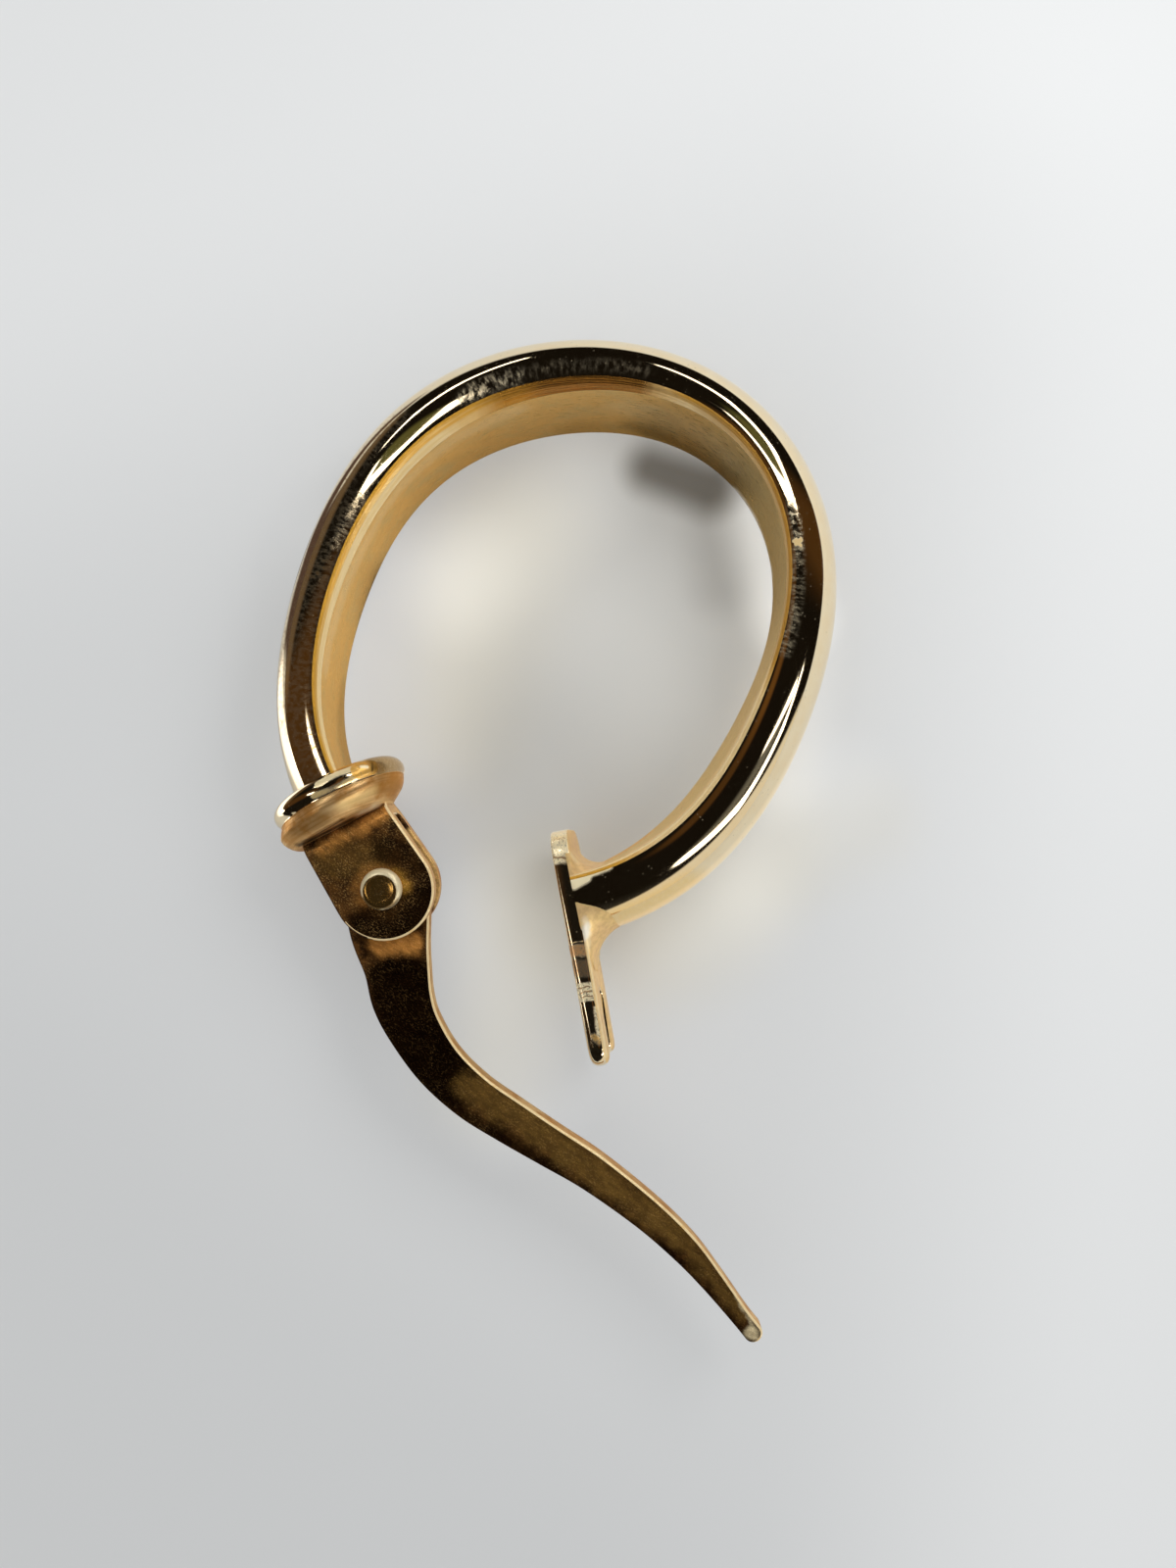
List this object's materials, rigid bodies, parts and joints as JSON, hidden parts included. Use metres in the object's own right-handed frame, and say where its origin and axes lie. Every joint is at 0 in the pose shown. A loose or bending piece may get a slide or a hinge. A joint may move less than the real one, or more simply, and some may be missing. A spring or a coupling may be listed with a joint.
{
  "type": "oval hoop earring",
  "caption": "Hinged oval hoop earring lying on its side, with a domed band, a flat S-curved ear post on a riveted yoke and a forked catch plate.",
  "frame": {"origin": "middle of the box that holds the whole earring, at the level of the surface it lies on", "axes": "+Z is the hoop's axis and points up, +Y runs across the oval from its bottom towards its closure, and the open ear post points along -X"},
  "size_m": [0.0236, 0.0222, 0.0044],
  "materials": {
    "polished_gold": "polished, with fine scratches and a satin inner wall",
    "worn_gold": "rolled flat, worn and scratched"
  },
  "bodies": {
    "hoop_body": {"hoop": "polished_gold", "rivet": "polished_gold"},
    "post_body": {"ear_post": "worn_gold"}
  },
  "joints": [
    {"name": "post_hinge", "type": "hinge", "parent": "hoop_body", "child": "post_body", "pos_m": [0.00424, 0.00617, 0.0022], "axis": [0, 0, 1], "range_deg": [-85, 32]}
  ]
}
